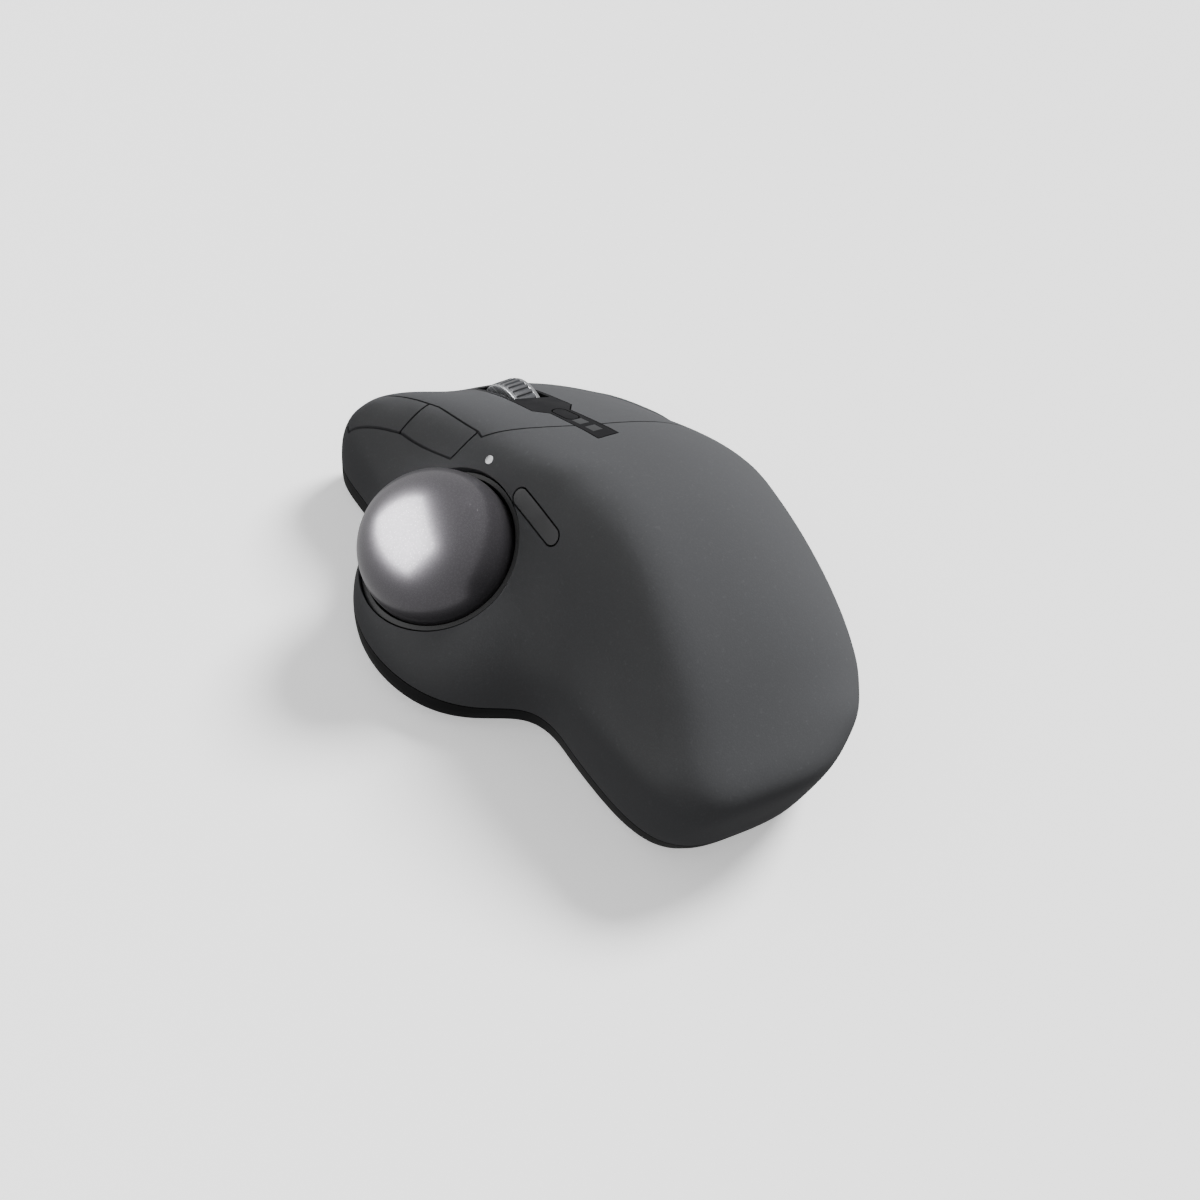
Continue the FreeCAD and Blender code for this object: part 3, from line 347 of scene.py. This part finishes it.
def build_finishes(colours):
    """Every finish of the object, by a plain name."""
    EFFECTS["grain"] = build_moulded_grain()
    EFFECTS["handling"] = build_handling()
    EFFECTS["brushing"] = build_brushing()
    graphite, black = tuple(colours.graphite), tuple(colours.black)
    FINISHES["graphite_cover"] = moulded("Soft-touch graphite", graphite, 0.58, 2400.0, 0.22,
                                         Specular_IOR_Level=0.02)
    FINISHES["black_case"] = moulded("Grained black", black, 0.5, 1700.0, 0.35, Specular_IOR_Level=0.05)
    FINISHES["black_trim"] = polished("Satin black", (0.009, 0.009, 0.010), 0.46, Specular_IOR_Level=0.06)
    FINISHES["pearl_ball"] = pearl_ball(tuple(colours.pearl))
    FINISHES["ceramic"] = polished("Ceramic", (0.78, 0.75, 0.70), 0.15)
    FINISHES["clear_lens"] = lit_window("Light window", (0.018, 0.019, 0.021), 0.0)
    FINISHES["status_light"] = lit_window("Status light", (0.12, 0.124, 0.13), 0.03)
    FINISHES["plate_steel"] = metal("Plate steel", (0.30, 0.31, 0.33), 0.38)
    FINISHES["pin_steel"] = metal("Ground steel", (0.55, 0.56, 0.58), 0.28)
    FINISHES["magnet"] = metal("Nickel", (0.62, 0.61, 0.59), 0.18)
    FINISHES["wheel_rims"] = metal("Satin silver", tuple(colours.silver), 0.24)
    FINISHES["pad_rubber"] = moulded("Pad rubber", (0.014, 0.014, 0.015), 0.72, 1400.0, 0.5)
    FINISHES["tyre_rubber"] = moulded("Tyre rubber", (0.045, 0.046, 0.05), 0.62, 2000.0, 0.4)
    FINISHES["board"] = moulded("Solder mask", (0.012, 0.06, 0.035), 0.35, 900.0, 0.2)
    FINISHES["component"] = moulded("Component black", (0.02, 0.02, 0.022), 0.5, 1500.0, 0.3)
    FINISHES["frame_plastic"] = moulded("Frame grey", (0.05, 0.05, 0.054), 0.5, 1500.0, 0.3)
    FINISHES["plunger"] = moulded("Cream plastic", (0.6, 0.55, 0.42), 0.45, 1500.0, 0.2)
    FINISHES["cell"] = metal("Foil", (0.5, 0.51, 0.53), 0.34)


# ---------------------------------------------------------------- modelling helpers
def pick_nothing():
    """Leave edit mode, with nothing selected."""
    if bpy.context.object and bpy.context.object.mode != "OBJECT":
        bpy.ops.object.mode_set(mode="OBJECT")
    bpy.ops.object.select_all(action="DESELECT")


def pick(obj):
    """Select one object only, and make it active."""
    pick_nothing()
    obj.select_set(True)
    bpy.context.view_layer.objects.active = obj


def settle(obj):
    """Put the piece's place in its mesh, with its object at the origin, unturned and unscaled."""
    pick(obj)
    bpy.ops.object.transform_apply(location=True, rotation=True, scale=True)
    return obj


def choose_faces(obj, wanted):
    """In edit mode, select only the faces that a test picks."""
    bpy.ops.mesh.select_mode(type="FACE")
    bpy.ops.mesh.select_all(action="DESELECT")
    shape = bmesh.from_edit_mesh(obj.data)
    for face in shape.faces:
        face.select_set(wanted(face))
    shape.select_flush_mode()
    bmesh.update_edit_mesh(obj.data)


def finish_piece(obj, name, body, slot, node, finish=None):
    """Name a piece, give it its finish, and let it ride with its body in place of its CAD node."""
    obj.name = name
    obj.data.name = name
    obj.data.materials.clear()
    obj.data.materials.append(FINISHES[finish or slot])
    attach(obj, body)
    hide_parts(node)


def apply_modifiers(obj):
    """Apply a piece's modifiers in their order."""
    pick(obj)
    for modifier in list(obj.modifiers):
        bpy.ops.object.modifier_apply(modifier=modifier.name)


def smooth(obj, angle):
    """Shade a piece smooth, but for edges sharper than an angle."""
    pick(obj)
    bpy.ops.object.shade_smooth_by_angle(angle=angle)


def ease_edges(obj, width, angle):
    """Round every edge that is sharper than an angle; the modifier is applied later."""
    eased = obj.modifiers.new("Eased edges", "BEVEL")
    eased.width = width
    eased.segments = EASED_SEGMENTS
    eased.limit_method = "ANGLE"
    eased.angle_limit = angle


def moulded_copy(node, width):
    """Merged copy of a CAD piece with its sharp edges eased."""
    copy = frame["nodes"][node].copy()
    copy.data = copy.data.copy()
    copy.parent = None
    for key in list(copy.keys()):
        del copy[key]
    bpy.context.scene.collection.objects.link(copy)
    copy.hide_render = False
    copy.hide_viewport = False
    pick(copy)
    bpy.ops.object.mode_set(mode="EDIT")
    bpy.ops.mesh.select_all(action="SELECT")
    bpy.ops.mesh.remove_doubles(threshold=MERGE_WITHIN)
    bpy.ops.object.mode_set(mode="OBJECT")
    ease_edges(copy, width, COPY_EDGE_ANGLE)
    apply_modifiers(copy)
    smooth(copy, COPY_SMOOTH_ANGLE)
    even = copy.modifiers.new("Even shading", "WEIGHTED_NORMAL")
    even.mode = "FACE_AREA"
    even.weight = 100
    even.keep_sharp = True
    apply_modifiers(copy)
    return copy


# ---------------------------------------------------------------- pieces
class TRACKBALL_OT_finishes(bpy.types.Operator):
    """Give every CAD piece its finish"""
    bl_idname = "trackball.finishes"
    bl_label = "Finishes"

    def execute(self, context):
        build_finishes(context.scene.trackball_colours)
        slots = {row["node"]: row["material_slot"] for row in frame["record"]["subparts"]}
        for name, node in frame["nodes"].items():
            node.data.materials.clear()
            node.data.materials.append(FINISHES[slots[name]])
        return {"FINISHED"}


class TRACKBALL_OT_ball(bpy.types.Operator):
    """The polished ball"""
    bl_idname = "trackball.ball"
    bl_label = "Ball"

    def execute(self, context):
        low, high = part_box("ball")
        radius = (high.z - low.z) / 2
        pick_nothing()
        bpy.ops.mesh.primitive_cube_add(size=2 * radius, location=(low + high) / 2)
        ball = bpy.context.object
        finer = ball.modifiers.new("Finer faces", "SUBSURF")
        finer.subdivision_type = "SIMPLE"
        finer.levels = finer.render_levels = BALL_LEVELS
        round_out = ball.modifiers.new("Round out", "CAST")
        round_out.cast_type = "SPHERE"
        round_out.factor = 1.0
        round_out.use_radius_as_size = False
        round_out.size = radius
        apply_modifiers(ball)
        settle(ball)
        bpy.ops.object.shade_smooth()
        finish_piece(ball, "polished_ball", "ball", "pearl_ball", "ball")
        return {"FINISHED"}


class TRACKBALL_OT_wheel(bpy.types.Operator):
    """The scroll wheel's ribbed tyre and rounded rims"""
    bl_idname = "trackball.wheel"
    bl_label = "Scroll wheel"

    def execute(self, context):
        sizes = context.scene.trackball_sizes
        low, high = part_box("wheel_tyre")
        centre = (low + high) / 2
        radius = (high.z - low.z) / 2
        rim_low, rim_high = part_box("wheel_rim_left")
        inner = (rim_high.z - rim_low.z) / 2 - TYRE_SEAT
        pick_nothing()
        bpy.ops.mesh.primitive_cylinder_add(vertices=sizes.rib_count * FACES_PER_RIB,
                                            radius=radius - sizes.rib_height, depth=high.x - low.x,
                                            location=centre, rotation=(0, math.pi / 2, 0),
                                            end_fill_type="NOTHING")
        tyre = settle(bpy.context.object)
        bpy.ops.object.mode_set(mode="EDIT")
        step = 2 * math.pi / sizes.rib_count

        def on_rib(face):
            """Whether a face lies on a rib, not in the gap beside it."""
            offset = face.calc_center_median() - centre
            return (math.atan2(offset.z, offset.y) % step) < step / 2

        choose_faces(tyre, on_rib)
        bpy.ops.mesh.extrude_region_shrink_fatten(
            TRANSFORM_OT_shrink_fatten={"value": sizes.rib_height})
        bpy.ops.object.mode_set(mode="OBJECT")
        wall = tyre.modifiers.new("Tyre depth", "SOLIDIFY")
        wall.thickness = radius - sizes.rib_height - inner
        wall.offset = -1
        ease_edges(tyre, RIB_ROUND, TYRE_EDGE_ANGLE)
        apply_modifiers(tyre)
        smooth(tyre, TYRE_EDGE_ANGLE)
        finish_piece(tyre, "wheel_tread", "wheel", "tyre_rubber", "wheel_tyre")
        for side in ("left", "right"):
            node = "wheel_rim_" + side
            rim = moulded_copy(node, RIM_ROUND)
            finish_piece(rim, "wheel_bright_rim_" + side, "wheel", "wheel_rims", node)
        return {"FINISHED"}


class TRACKBALL_OT_lights(bpy.types.Operator):
    """The status light's and the indicators' windows"""
    bl_idname = "trackball.lights"
    bl_label = "Light windows"

    def execute(self, context):
        light = moulded_copy("status_light", STATUS_ROUND)
        finish_piece(light, "status_window", "case", "clear_lens", "status_light", finish="status_light")
        for place in ("front", "rear"):
            node = "indicator_lens_" + place
            window = moulded_copy(node, INDICATOR_ROUND)
            finish_piece(window, "indicator_window_" + place, "case", "clear_lens", node)
        return {"FINISHED"}


class TRACKBALL_OT_underside(bpy.types.Operator):
    """The pad and the power switch's slider, their edges rounded"""
    bl_idname = "trackball.underside"
    bl_label = "Underside"

    def execute(self, context):
        width = context.scene.trackball_sizes.edge_round
        pad = moulded_copy("rubber_pad", PAD_ROUND_RATIO * width)
        finish_piece(pad, "soft_pad", "base", "pad_rubber", "rubber_pad")
        knob = moulded_copy("power_slider", width)
        finish_piece(knob, "slider_knob", "power_slider", "frame_plastic", "power_slider")
        return {"FINISHED"}


class TRACKBALL_OT_stage(bpy.types.Operator):
    """Floor, studio light and camera"""
    bl_idname = "trackball.stage"
    bl_label = "Stage"

    def execute(self, context):
        half = context.scene.trackball_sizes.floor_half
        pick_nothing()
        bpy.ops.mesh.primitive_plane_add(size=2 * half, location=(0, 0, CAD_BOX[0][2] - FLOOR_GAP))
        floor = settle(bpy.context.object)
        floor.name = "floor"
        material, shader = new_finish("Pale floor", Roughness=0.9)
        shader.inputs["Base Color"].default_value = (FLOOR_WHITE, FLOOR_WHITE, FLOOR_WHITE, 1)
        shader.inputs["Emission Color"].default_value = (1, 1, 1, 1)
        shader.inputs["Emission Strength"].default_value = FLOOR_GLOW
        floor.data.materials.append(material)
        floor.visible_diffuse = False
        floor.visible_glossy = False
        world = bpy.data.worlds.new("Studio")
        world.use_nodes = True
        sky = world.node_tree.nodes["Background"]
        sky.inputs["Color"].default_value = (1, 1, 1, 1)
        sky.inputs["Strength"].default_value = WORLD_STRENGTH
        context.scene.world = world
        sun = bpy.data.lights.new("overhead_light", "SUN")
        sun.energy = SUN_ENERGY
        sun.angle = SUN_ANGLE
        add_light(context, sun, SUN_PLACE).visible_glossy = False
        softbox = bpy.data.lights.new("ball_light", "AREA")
        softbox.shape = "RECTANGLE"
        softbox.size, softbox.size_y = SOFTBOX_SIZE
        softbox.energy = SOFTBOX_POWER
        add_light(context, softbox, SOFTBOX_PLACE).visible_diffuse = False
        add_camera(context)
        return {"FINISHED"}


def add_light(context, lamp, place):
    """Hang a light at a place, aimed at the object."""
    holder = bpy.data.objects.new(lamp.name, lamp)
    context.scene.collection.objects.link(holder)
    holder.location = place
    holder.rotation_euler = (Vector(place) - Vector(LIGHT_AIM)).to_track_quat("Z", "Y").to_euler()
    return holder


def add_camera(context):
    """Camera that looks from the rear left, from above, a little rolled."""
    side, front = math.sin(CAMERA_AZIMUTH), math.cos(CAMERA_AZIMUTH)
    level, drop = math.cos(CAMERA_ELEVATION), math.sin(CAMERA_ELEVATION)
    forward = Vector((side * level, front * level, -drop))
    right = Vector((front, -side, 0))
    up = right.cross(forward)
    rolled_right = right * math.cos(CAMERA_ROLL) + up * math.sin(CAMERA_ROLL)
    rolled_up = up * math.cos(CAMERA_ROLL) - right * math.sin(CAMERA_ROLL)
    low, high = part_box("ball")
    ball = (low + high) / 2
    target = ball + (rolled_right * CAMERA_AIM[0] + rolled_up * CAMERA_AIM[1])
    lens = bpy.data.cameras.new("studio_camera")
    lens.lens = CAMERA_LENS
    lens.sensor_width = CAMERA_SENSOR
    lens.clip_start = CAMERA_CLIP
    camera = bpy.data.objects.new("studio_camera", lens)
    context.scene.collection.objects.link(camera)
    turn = Matrix((rolled_right, rolled_up, -forward)).transposed().to_4x4()
    camera.matrix_world = Matrix.Translation(target - forward * CAMERA_DISTANCE) @ turn
    context.scene.camera = camera


OPERATORS = (TRACKBALL_OT_finishes, TRACKBALL_OT_ball, TRACKBALL_OT_wheel, TRACKBALL_OT_lights,
             TRACKBALL_OT_underside, TRACKBALL_OT_stage)


class TRACKBALL_PT_panel(bpy.types.Panel):
    """Lists the pieces in the order in which they are made"""
    bl_idname = "TRACKBALL_PT_panel"
    bl_label = "Trackball mouse"
    bl_space_type = "VIEW_3D"
    bl_region_type = "UI"
    bl_category = "Trackball"

    def draw(self, context):
        """Sizes and colours first, then the operators in their order."""
        for group in (context.scene.trackball_sizes, context.scene.trackball_colours):
            for name in group.__annotations__:
                self.layout.prop(group, name)
        for piece in OPERATORS:
            self.layout.operator(piece.bl_idname)


CLASSES = (TrackballSizes, TrackballColours, *OPERATORS, TRACKBALL_PT_panel)


def register():
    """Register the classes and give the scene its sizes and colours."""
    for item in CLASSES:
        bpy.utils.register_class(item)
    bpy.types.Scene.trackball_sizes = bpy.props.PointerProperty(type=TrackballSizes)
    bpy.types.Scene.trackball_colours = bpy.props.PointerProperty(type=TrackballColours)


def unregister():
    """Undo register."""
    del bpy.types.Scene.trackball_colours
    del bpy.types.Scene.trackball_sizes
    for item in reversed(CLASSES):
        bpy.utils.unregister_class(item)


def main():
    """Make every piece in order."""
    register()
    bpy.ops.trackball.finishes()
    bpy.ops.trackball.ball()
    bpy.ops.trackball.wheel()
    bpy.ops.trackball.lights()
    bpy.ops.trackball.underside()
    bpy.ops.trackball.stage()


if __name__ == "__main__":
    main()
